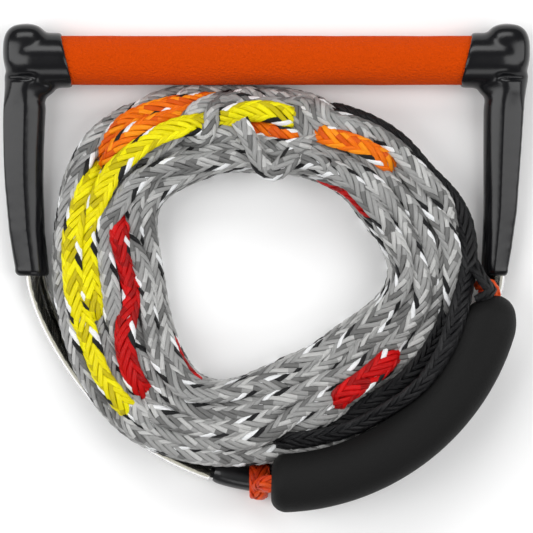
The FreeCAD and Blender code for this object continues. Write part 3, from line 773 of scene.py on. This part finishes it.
def shape_leg(co, sign, edges):
    """Gives the guard's leg its taper, a flat outer facet with a ridge beside it, and a rounded lip."""
    levels = np.arange(-0.006, 0.115, 0.003)
    rows = []
    for level in levels:
        near = co[np.abs(co[:, 1] - level) < 0.003]
        low = near.min(axis=0)
        high = near.max(axis=0)
        rows.append((*((low + high) / 2)[[0, 2]], *((high - low) / 2)[[0, 2]]))
    middle_x, middle_z, half_x, half_z = (np.interp(co[:, 1], levels, row) for row in np.array(rows).T)
    across = (co[:, 0] - middle_x) / half_x * sign
    up = (co[:, 2] - middle_z) / half_z
    reach = np.hypot(across, up)
    skin = ramp(reach, 0.74, 0.88) * ramp(-co[:, 1], -0.114, -0.094)
    heights, inner, outer = np.array(edges).T * MM
    inner = np.interp(co[:, 1], heights, inner)
    outer = np.interp(co[:, 1], heights, outer)
    wanted_x = sign * ((inner + outer) / 2 + across * (outer - inner) / 2)
    u = np.clip(across, -0.98, 0.98)
    circle = np.sqrt(1 - u ** 2)
    facet = np.minimum(0.98 - 0.24 * u - 0.12 * u ** 2, 1.22 * (1 - np.abs(u) ** 4) ** 0.25)
    shaped = np.where(u > 0, facet, 0.98 * circle) + 0.018 * bump(u, -0.04, 0.07)
    wanted_z = middle_z + up * half_z * np.where(up > 0, shaped / circle, 1)
    co[:, 0] += skin * (wanted_x - co[:, 0])
    co[:, 2] += skin * (wanted_z - co[:, 2])
    lip = co[:, 1].min()
    tuck = 0.16 * np.clip(1 - (co[:, 1] - lip) / 0.0032, 0, 1) ** 2 * ramp(reach, 0.7, 0.9)
    co[:, 0] -= tuck * (co[:, 0] - middle_x)
    co[:, 2] -= tuck * (co[:, 2] - middle_z)


def rounded_block(name, centre, half, power):
    """A box with rounded faces: the higher the power, the squarer."""
    rows = 24
    tilt = np.linspace(-np.pi / 2, np.pi / 2, rows)[:, None]
    turn = np.linspace(0, 2 * np.pi, 2 * rows, endpoint=False)[None, :]
    ball = np.stack(
        [np.cos(tilt) * np.cos(turn), np.cos(tilt) * np.sin(turn), np.sin(tilt) * np.ones_like(turn)], -1
    )
    scale = (np.abs(ball) ** power).sum(axis=-1, keepdims=True) ** (-1 / power)
    points = ball * scale * np.array(half) + np.array(centre)
    return placed(name, mesh_from(name, points.reshape(-1, 3), ring_quads(rows, 2 * rows)))


def join(items):
    """Joins the objects into the first one."""
    with bpy.context.temp_override(
        active_object=items[0], selected_editable_objects=items, selected_objects=items
    ):
        bpy.ops.object.join()


def apply_all(piece):
    """Puts the result of the piece's modifiers into its mesh."""
    graph = bpy.context.evaluated_depsgraph_get()
    mesh = bpy.data.meshes.new_from_object(piece.evaluated_get(graph))
    piece.modifiers.clear()
    piece.data = mesh


def vertex_array(mesh):
    """The mesh's vertices as rows."""
    co = np.zeros(len(mesh.vertices) * 3)
    mesh.vertices.foreach_get("co", co)
    return co.reshape(-1, 3)


def move_vertices(mesh, co):
    """Puts the mesh's vertices at these rows."""
    mesh.vertices.foreach_set("co", co.astype(np.float32).ravel())
    mesh.update()


def dress(piece, material):
    """Gives the piece one material and smooth shading."""
    piece.data.materials.clear()
    piece.data.materials.append(material)
    piece.data.polygons.foreach_set("use_smooth", np.ones(len(piece.data.polygons), bool))
    piece.data.update()


def grip():
    """The suede sleeve over the bar, a little uneven where it has been stretched on."""
    half = (BAR_HIGH.x - BAR_LOW.x) / 2
    outer = (BAR_HIGH.z - BAR_LOW.z) / 2
    along = np.linspace(-half, half, 260)
    line = np.stack([along, np.full(260, BAR_Y), np.full(260, BAR_Z)], axis=1)
    piece = tube("grip_sleeve", line, outer, SUEDE, around=96)
    co = vertex_array(piece.data)
    turn = np.arctan2(co[:, 2] - BAR_Z, co[:, 1] - BAR_Y)
    x = co[:, 0] / MM
    swell = (
        0.05 * np.sin(x / 9 + 2 * np.sin(turn))
        + 0.05 * np.sin(x / 23 + 3 * np.cos(turn + 1))
        + 0.03 * np.sin(x / 4.1 + 5 * turn)
    )
    seam = bump(turn, -2.6, 0.03)
    co[:, 1:] += (co[:, 1:] - [BAR_Y, BAR_Z]) / outer * ((swell - 0.5 * seam) * MM)[:, None]
    move_vertices(piece.data, co)
    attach(piece, "bar")
    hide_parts("grip_cover")


def float_point(degrees):
    """A point of the float's middle line."""
    turn = math.radians(degrees)
    return FLOAT_CENTRE + Vector((math.cos(turn) * FLOAT_ARC, math.sin(turn) * FLOAT_ARC, 0))


def banana_float():
    """The foam float: a bent rod with rounded ends, one of them worn, and a bore."""
    share = np.linspace(0, 1, 220)
    eased = (1 - np.cos(share * np.pi)) / 2
    degrees = FLOAT_START + FLOAT_SWEEP * (0.35 * share + 0.65 * eased)
    line = np.array([float_point(d) for d in degrees])
    arc = np.radians(FLOAT_SWEEP) * FLOAT_ARC
    from_end = np.minimum(degrees - FLOAT_START, FLOAT_START + FLOAT_SWEEP - degrees) / FLOAT_SWEEP * arc
    rim = np.clip(from_end / (9 * MM), 0, 1)
    worn = 5 * MM * np.clip(1 - (degrees[-1] - degrees) / 8, 0, 1) ** 2
    line -= (line - np.array(FLOAT_CENTRE)) / FLOAT_ARC * (worn * 0.9)[:, None]
    radii = FLOAT_RADIUS - worn - 9 * MM * (1 - np.sqrt(np.clip(1 - (1 - rim) ** 2, 0, 1)))
    piece = tube("float_foam_skin", line, radii, FOAM, around=96, inner=5 * MM)
    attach(piece, "float")
    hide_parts("float_body")


def float_rope():
    """The orange rope: a turn round the apex sleeve, through the float, and a loop in the line's eye."""
    centre = Vector((-0.0043, -0.1318, 0.00935))
    reach = SLEEVE_OUTER / 2 + 2.6 * MM
    wrap = []
    for index in range(14):
        turn = math.radians(250 - index * 30)
        drift = (index - 6.5) * 0.12 * MM
        wrap.append(centre + Vector((drift, math.cos(turn) * reach, math.sin(turn) * reach)))
    rise = [(-0.0030, -0.1335, 0.0290), (0.0010, -0.1318, 0.0345)]
    run = [float_point(FLOAT_START + 2 + index * 6.0) for index in range(14)]
    loop = [
        (0.1368, -0.0158, 0.0335), (0.1350, -0.0124, 0.0325), (0.1316, -0.0118, 0.0310),
        (0.1290, -0.0144, 0.0295),
    ]
    line = route_line([tuple(point) for point in wrap + rise + run + loop], 2.4 * MM)
    near = np.clip((0.004 - line[:, 0]) / 0.004, 0, 1)[:, None] * (line[:, 1:2] < -0.1)
    outward = unit((line - np.array(centre)) * [0, 1, 1])
    side, face = cross_frames(line, outward * near + UP * (1 - near))
    piece = braid("float_rope_braid", line, side, face, 10.6 * MM, 5.4 * MM, ROPE_COLOURS["float_rope"])
    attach(piece, "bridle")
    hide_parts("float_rope")


def bridle():
    """The bridle rope, its clear hoses and the sleeve at its apex."""
    line = route_line(BRIDLE_ROUTE, 2.0 * MM)
    side, face = cross_frames(line, np.tile(UP, (len(line), 1)))
    rope = braid("bridle_braid", line, side, face, BRIDLE_ROPE, BRIDLE_ROPE * 0.94, ROPE_COLOURS["black"])
    sleeve_low, sleeve_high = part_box("apex_sleeve")
    left_part = line[line[:, 0] < sleeve_low.x - 0.5 * MM]
    right_part = line[line[:, 0] > sleeve_high.x + 0.5 * MM]
    middle = line[(line[:, 0] >= sleeve_low.x) & (line[:, 0] <= sleeve_high.x)]
    left = tube("left_hose_tube", left_part, HOSE_OUTER / 2, HOSE, inner=HOSE_INNER / 2)
    right = tube("right_hose_tube", right_part[::-1], HOSE_OUTER / 2, HOSE, inner=HOSE_INNER / 2)
    ends = np.minimum(np.arange(len(middle)), np.arange(len(middle))[::-1]) * 2.0
    radii = SLEEVE_OUTER / 2 - 0.9 * MM * np.exp(-ends / 1.2)
    sleeve = tube("apex_sleeve_skin", middle, radii, SLEEVE, around=48, inner=HOSE_INNER / 2)
    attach(sleeve, "bridle")
    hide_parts("apex_sleeve")
    for piece, node, slot, path, diameter in (
        (rope, "bridle_rope", "bridle_rope", line, BRIDLE_ROPE),
        (left, "left_bridle_hose", "clear_hose", left_part, HOSE_OUTER),
        (right, "right_bridle_hose", "clear_hose", right_part[::-1], HOSE_OUTER),
    ):
        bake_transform(piece)
        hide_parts(node)


def inner_parts():
    """CAD nodes that keep their shape: the tube, its plugs, the foam and the rope inside the guards."""
    finishes = {
        "bar_tube": TUBE,
        "left_bar_plug": PLUG,
        "right_bar_plug": PLUG,
        "grip_foam": FOAM,
        "left_anchor_rope": BLACK_FILAMENT,
        "right_anchor_rope": BLACK_FILAMENT,
    }
    for node, material in finishes.items():
        mesh = frame["nodes"][node].data
        mesh.materials.clear()
        mesh.materials.append(material)


def stage():
    """The plain pale floor."""
    floor = bpy.data.meshes.new("floor")
    floor.from_pydata([(-4, -4, 0), (4, -4, 0), (4, 4, 0), (-4, 4, 0)], [], [(0, 1, 2, 3)])
    floor.materials.append(FLOOR)
    placed("floor", floor)


def lamp(name, place, size, power):
    """A soft box that looks at the middle of the floor."""
    light = bpy.data.lights.new(name, "AREA")
    light.shape = "RECTANGLE"
    light.size = size[0]
    light.size_y = size[1]
    light.energy = power
    item = bpy.data.objects.new(name, light)
    bpy.context.scene.collection.objects.link(item)
    item.location = place
    item.rotation_euler = (-Vector(place)).to_track_quat("-Z", "Y").to_euler()


def lights():
    """Even studio light: a dim white world and a soft box on each side."""
    world = bpy.data.worlds.new("studio")
    bpy.context.scene.world = world
    world.use_nodes = True
    world.node_tree.nodes["Background"].inputs["Color"].default_value = (1, 1, 1, 1)
    world.node_tree.nodes["Background"].inputs["Strength"].default_value = 0.2
    lamp("left_box", (-1.25, 0.1, 1.2), (1.0, 2.0), 21)
    lamp("right_box", (1.25, 0.1, 1.2), (1.0, 2.0), 19)
    lamp("far_box", (-0.2, 1.5, 1.3), (1.4, 0.7), 13)
    lamp("near_box", (0.1, -1.5, 1.3), (1.4, 0.7), 7)


def camera():
    """A long lens that looks straight down."""
    view = bpy.data.cameras.new("camera")
    view.lens = 200
    view.sensor_width = 36
    item = bpy.data.objects.new("camera", view)
    item.location = (0, 0, 1.832)
    bpy.context.scene.collection.objects.link(item)
    bpy.context.scene.camera = item
    bpy.context.scene.view_settings.view_transform = "Standard"


line_sections()
bridle()
float_rope()
banana_float()
for side, sign in (("left", -1), ("right", 1)):
    end_guard(side, sign)
grip()
inner_parts()
stage()
lights()
camera()
